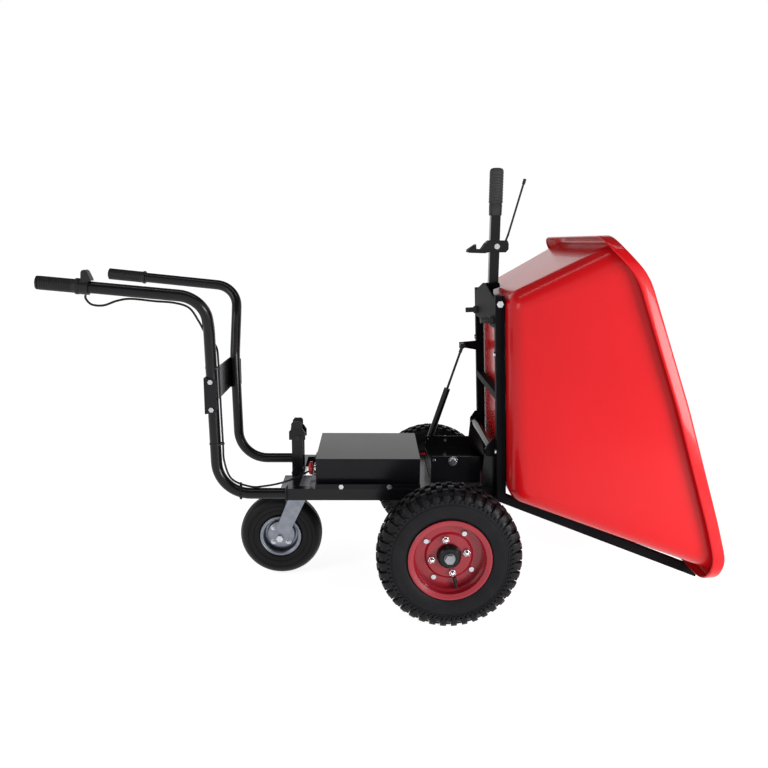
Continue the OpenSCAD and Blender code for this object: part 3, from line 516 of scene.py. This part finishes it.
def cable_tie(name, bar, cable, run):
    """Band round the bar and the cable, with its locking head."""
    bar_r = BAR_R + TIE_PLAY
    cable_r = THROTTLE_CABLE_R / MM + TIE_PLAY
    out = cable - bar
    out -= run * out.dot(run)
    gap = out.length
    out.normalize()
    across = run.cross(out)
    spread = math.acos((bar_r - cable_r) * MM / gap)
    loop = []
    for k in range(25):
        a = spread + (2 * math.pi - 2 * spread) * k / 24
        loop.append((bar, bar_r, a))
    for k in range(9):
        a = -spread + 2 * spread * k / 8
        loop.append((cable, cable_r, a))
    section = ((-TIE_HALF, 0), (TIE_HALF, 0), (TIE_HALF, TIE_THICK), (-TIE_HALF, TIE_THICK))
    verts = []
    for centre, r, a in loop:
        direction = out * math.cos(a) + across * math.sin(a)
        base = centre + (run * (bar - centre).dot(run))
        for along_run, extra in section:
            verts.append(base + direction * ((r + extra) * MM) + run * (along_run * MM))
    n = len(loop)
    faces = []
    for i in range(n):
        j = (i + 1) % n
        for k in range(4):
            m = (k + 1) % 4
            faces.append([i * 4 + k, i * 4 + m, j * 4 + m, j * 4 + k])
    head = bar + across * ((bar_r + TIE_HEAD[1]) * MM)
    corners = [head + out * (sx * TIE_HEAD[0] * MM) + across * (sy * TIE_HEAD[1] * MM)
               + run * (sz * TIE_HEAD[2] * MM)
               for sx in (-1, 1) for sy in (-1, 1) for sz in (-1, 1)]
    box_faces = [[0, 1, 3, 2], [4, 6, 7, 5], [0, 4, 5, 1], [2, 3, 7, 6], [0, 2, 6, 4],
                 [1, 5, 7, 3]]
    parts = [(verts, faces), bevelled(corners, box_faces, 0.6)]
    make(name, *merge(parts), "chassis", "black_plastic", crease=50)


cable_tie("cable_tie_low", at(-590, -178, 321), at(-590, -178, 350), Vector((1, 0, 0)))
cable_tie("cable_tie_post_low", at(-658, -178, 470), at(-637, -178, 470), UP)
cable_tie("cable_tie_post_high", at(-661.5, -178, 690), at(-641, -181, 690), UP)

# ---- drive wheels: rounded carcass, chunky lugs, valve stems ----


KNOBS = 40              # in a row
KNOB_TURN = 360 / KNOBS
VALVE_ANGLE = 284


def tyre_mesh(centre, side):
    """Carcass with its sidewall rings, and the knobs of the tread one by one."""
    axis = Vector((0, side, 0))
    outer = rounded([(-33, 104), (-42, 118), (-47, 138), (-47.2, 156), (-44.5, 172), (-38, 184),
                     (-28, 190), (0, 193), (28, 190), (38, 184), (44.5, 172), (47.2, 156),
                     (47, 138), (42, 118), (33, 104)], 9)
    inner = [(26, 102), (34, 120), (38, 140), (38, 158), (31, 172), (22, 178), (-22, 178),
             (-31, 172), (-38, 158), (-38, 140), (-34, 120), (-26, 102)]
    parts = [revolve(outer + inner, centre, axis, 132, closed=True)]
    for s in (-1, 1):
        for r, x in ((113, 39.6), (117.5, 41.6), (157, 47.2)):
            ring_profile = [(s * (x - 1.6), r - 1.3), (s * (x + 0.9), r - 0.4),
                            (s * (x + 0.9), r + 0.4), (s * (x - 1.6), r + 1.3)]
            parts.append(revolve(ring_profile, centre, axis, 132, closed=True))
    # tread knobs, shoulder knobs and the short nibs below them
    knob = [(2.5, 189), (2.5, 199.4), (18, 199.6), (20.5, 198), (21.5, 189)]
    shoulder = [(24, 188), (24, 197), (33, 196.5), (41, 192), (46.5, 184), (49, 174),
                (48, 169.5), (42, 171), (36, 180)]
    nib = [(43, 163), (48.2, 162), (48.8, 167), (48.6, 172), (42, 172)]
    for row in (1, -1):
        for i in range(KNOBS):
            for step, outline, half, soft in (
                    (0 if row > 0 else 0.5, knob, 8.8, 1.3),
                    (0.5 if row > 0 else 0, shoulder, 8.2, 1.5),
                    (0.5 if row > 0 else 0, nib, 3.2, 0.9),
                    (1 if row > 0 else 0.5, nib, 3.2, 0.9)):
                a = math.radians(90 + KNOB_TURN * (i + step))
                out = Vector((math.cos(a), 0, math.sin(a)))
                turn = Vector((-math.sin(a), 0, math.cos(a)))

                def place(s, r, t, row=row, out=out, turn=turn):
                    return centre + axis * (row * s * MM) + out * (r * MM) + turn * (t * MM)

                parts.append(bevelled(*slab(outline, place,
                                            lambda s, r, half=half: half - (r - 185) * 0.06),
                                      soft))
    return merge(parts)


for side, name in ((1, "left"), (-1, "right")):
    centre = Vector((AXLE_X, side * WHEEL_Y, AXLE_Z))
    piece = make("tyre_knobby_" + name, *tyre_mesh(centre, side), "wheel_" + name,
                 "tyre_rubber", crease=35)
    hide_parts("tyre_" + name)
    a = math.radians(VALVE_ANGLE)
    inward = -Vector((math.cos(a), 0, math.sin(a)))
    root = centre + Vector((0, side * 0.016, 0)) - inward * 0.0975
    stem = rounded([(0, 0), (0, 6.4), (3, 6.2), (6, 4.4), (16, 3.9), (17, 3.9)], 1.2)
    cap = [(17, 3.9), (17, 4.6), (19, 4.9)]
    for s in range(20, 31, 2):
        cap += [(s, 4.9), (s + 0.6, 4.5), (s + 1.2, 4.9)]
    cap += [(33, 4.7), (35, 3.9), (36, 2.6), (36, 0)]
    make("valve_stem_" + name, *revolve(stem + cap, root, inward, 28), "wheel_" + name,
         "soft_rubber", crease=45)

# ---- caster: moulded tyre, pressed rim and its bolts ----

low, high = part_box("caster_tyre")
caster_centre = (low + high) / 2
outer = rounded([(-26, 62), (-33, 70), (-38, 90), (-38, 108), (-29, 121), (-16, 127.3),
                 (16, 127.3), (29, 121), (38, 108), (38, 90), (33, 70), (26, 62)], 10)
crown = [(-16, 127.3), (-12.6, 128.2), (-11.8, 126.4), (-9.8, 126.4), (-9, 128.4), (-1, 128.5),
         (-0.6, 127.2), (0.6, 127.2), (1, 128.5), (9, 128.4), (9.8, 126.4), (11.8, 126.4),
         (12.6, 128.2), (16, 127.3)]
left_half = [p for p in outer if p[0] < crown[0][0]]
right_half = [p for p in outer if p[0] > crown[-1][0]]
inner = [(20, 60), (25, 72), (30, 92), (30, 106), (18, 116), (0, 120), (-18, 116), (-30, 106),
         (-30, 92), (-25, 72), (-20, 60)]
parts = [revolve(left_half + crown + right_half + inner, caster_centre, ACROSS, 110,
                 closed=True)]
for s in (-1, 1):
    for r in (84, 100):
        ring_profile = [(s * 36.5, r - 1.6), (s * 38, r - 0.6), (s * 38, r + 0.6),
                        (s * 36.5, r + 1.6)]
        parts.append(revolve(ring_profile, caster_centre, ACROSS, 110, closed=True))
piece = make("caster_tyre_moulded", *merge(parts), "caster_wheel", "tyre_rubber", crease=35)
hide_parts("caster_tyre")

# pressed disc, deep groove and rolled lip on each side
half_rim = [(42, 6.3), (42, 14), (22, 14), (22, 41), (20.5, 43.5), (6, 45), (6, 50.5), (27, 52),
            (31, 53), (34, 55), (35, 57.3), (34, 59.3), (35, 61.3), (34.6, 63.5), (32.5, 65.2),
            (29, 65), (26, 61.8)]
whole_rim = half_rim + [(-s, r) for s, r in reversed(half_rim)]
piece = make("caster_rim_pressed", *revolve(whole_rim, caster_centre, ACROSS, 96, closed=True),
             "caster_wheel", "zinc", crease=35)
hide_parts("caster_rim")

# washer, nut and the bolt's end, four on each side
RIM_BOLT_R, RIM_BOLT_Y = 33, 21.5
parts = []
for s in (-1, 1):
    for a in (math.radians(45 + 90 * i) for i in range(4)):
        foot = caster_centre + Vector((RIM_BOLT_R * math.cos(a), s * RIM_BOLT_Y,
                                       RIM_BOLT_R * math.sin(a))) * MM
        axis = Vector((0, s, 0))
        parts.append(revolve([(0, 0), (0, 9), (1.2, 9), (1.2, 0)], foot, axis, 28))
        parts.append(revolve([(1, 0), (1, 7), (6, 7), (6.8, 6.2), (6.8, 0)], foot, axis, 6))
        parts.append(revolve([(6.5, 0), (6.5, 3.6), (8.6, 3.4), (9, 2.8), (9, 0)], foot, axis, 18))
make("caster_rim_bolts", *merge(parts), "caster_wheel", "bolt_steel", crease=30)

# ---- lever grip: ribbed sleeve with its lower collar ----

low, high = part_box("lever_grip")
foot = Vector(((low.x + high.x) / 2, 0, low.z))
line = [(0, 14.2), (0, 17.6), (1.4, 18.6), (31, 19.3), (32, 18.2), (34.5, 18.2), (35.5, 20.4)]
for s in range(42, 116, 8):
    line += [(s, 20.5), (s + 1, 19.7), (s + 3, 19.7), (s + 4, 20.5)]
line += [(121, 20.5), (128, 19.7), (132.5, 17.2), (134.6, 12), (135, 6), (135, 0)]
piece = make("lever_grip_sleeve", *revolve(line, foot, UP, 56), "tipper",
             "grey_rubber", crease=50)
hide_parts("lever_grip")

# ---- latch spring as a real coil ----

SPRING_X, SPRING_Z = 129.5, 1014
SPRING_R, SPRING_LENGTH, SPRING_WIRE_R = 4.4, 30.6, 1
SPRING_TURNS, TURN_POINTS = 9, 20
count = SPRING_TURNS * TURN_POINTS
line = []
for i in range(count + 1):
    a = 2 * math.pi * i / TURN_POINTS
    line.append(at(SPRING_X + SPRING_R * math.cos(a), SPRING_R * math.sin(a),
                   SPRING_Z + SPRING_LENGTH * i / count))
piece = make("latch_spring_coil", *tube(line, SPRING_WIRE_R * MM, 10), "tipper", "bolt_steel")
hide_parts("latch_spring")

# ---- studio: pale floor, white surround, soft lights, camera ----


FLOOR_SIZE = 60


def plain(name, colour, rough, glow):
    """Even finish that glows, for the floor."""
    m = bpy.data.materials.new(name)
    m.use_nodes = True
    shader = m.node_tree.nodes["Principled BSDF"]
    shader.inputs["Base Color"].default_value = (*colour, 1)
    shader.inputs["Roughness"].default_value = rough
    shader.inputs["Emission Color"].default_value = (1, 1, 1, 1)
    shader.inputs["Emission Strength"].default_value = glow
    return m


floor_mesh = bpy.data.meshes.new("floor")
floor_mesh.from_pydata([(x * FLOOR_SIZE, y * FLOOR_SIZE, 0)
                        for x, y in ((-1, -1), (1, -1), (1, 1), (-1, 1))], [], [[0, 1, 2, 3]])
floor_mesh.materials.append(plain("floor_pale", (0.55, 0.55, 0.55), 0.9, 0.86))
floor = bpy.data.objects.new("floor", floor_mesh)
scene.collection.objects.link(floor)

# white band round the horizon, dim overhead; heights are the Z of a direction
WHITE_BELOW, DIM_ABOVE, OVERHEAD = 0.33, 0.55, 0.12
world = bpy.data.worlds.new("studio")
world.use_nodes = True
scene.world = world
nodes, link = world.node_tree.nodes, world.node_tree.links.new
background = nodes["Background"]
coords = nodes.new("ShaderNodeTexCoord")
split = nodes.new("ShaderNodeSeparateXYZ")
link(coords.outputs["Generated"], split.inputs["Vector"])
shade = nodes.new("ShaderNodeMapRange")
shade.inputs["From Min"].default_value = WHITE_BELOW
shade.inputs["From Max"].default_value = DIM_ABOVE
shade.inputs["To Min"].default_value = 1.0
shade.inputs["To Max"].default_value = OVERHEAD
link(split.outputs["Z"], shade.inputs["Value"])
link(shade.outputs["Result"], background.inputs["Color"])
background.inputs["Strength"].default_value = 1.0


def softbox(name, place, target, width, height, power):
    """Area light at a place, turned to its target, out of the camera's sight."""
    light = bpy.data.lights.new(name, "AREA")
    light.shape = "RECTANGLE"
    light.size, light.size_y, light.energy = width, height, power
    lamp = bpy.data.objects.new(name, light)
    lamp.location = place
    lamp.visible_camera = False
    lamp.rotation_euler = (Vector(target) - Vector(place)).to_track_quat("-Z", "Y").to_euler()
    scene.collection.objects.link(lamp)


softbox("light_top", (-0.1, -0.5, 3.0), (-0.1, 0, 0.5), 2.8, 0.35, 13)
softbox("light_key", (1.4, -1.5, 0.55), (0.62, -0.3, 0.5), 0.7, 0.6, 27)
softbox("light_left", (-2.6, -1.8, 1.6), (-0.2, 0, 0.5), 0.8, 1.4, 16)

CAMERA_PLACE = (-212.157, -2202.027, 1038.281)
CAMERA_LENS, SENSOR_WIDTH = 34.22, 36
camera_data = bpy.data.cameras.new("camera")
camera_data.sensor_width = SENSOR_WIDTH
camera_data.lens = CAMERA_LENS
camera = bpy.data.objects.new("camera", camera_data)
scene.collection.objects.link(camera)
yaw, pitch, roll = 0.017, 0.1918, 0.0067  # radians
forward = Vector((math.sin(yaw) * math.cos(pitch), math.cos(yaw) * math.cos(pitch),
                  -math.sin(pitch)))
right = Vector((math.cos(yaw), -math.sin(yaw), 0))
up = right.cross(forward)
right, up = (right * math.cos(roll) + up * math.sin(roll),
             up * math.cos(roll) - right * math.sin(roll))
turn = Matrix((right, up, -forward)).transposed().to_4x4()
camera.matrix_world = Matrix.Translation(at(*CAMERA_PLACE)) @ turn
scene.camera = camera
scene.view_settings.view_transform = "Standard"
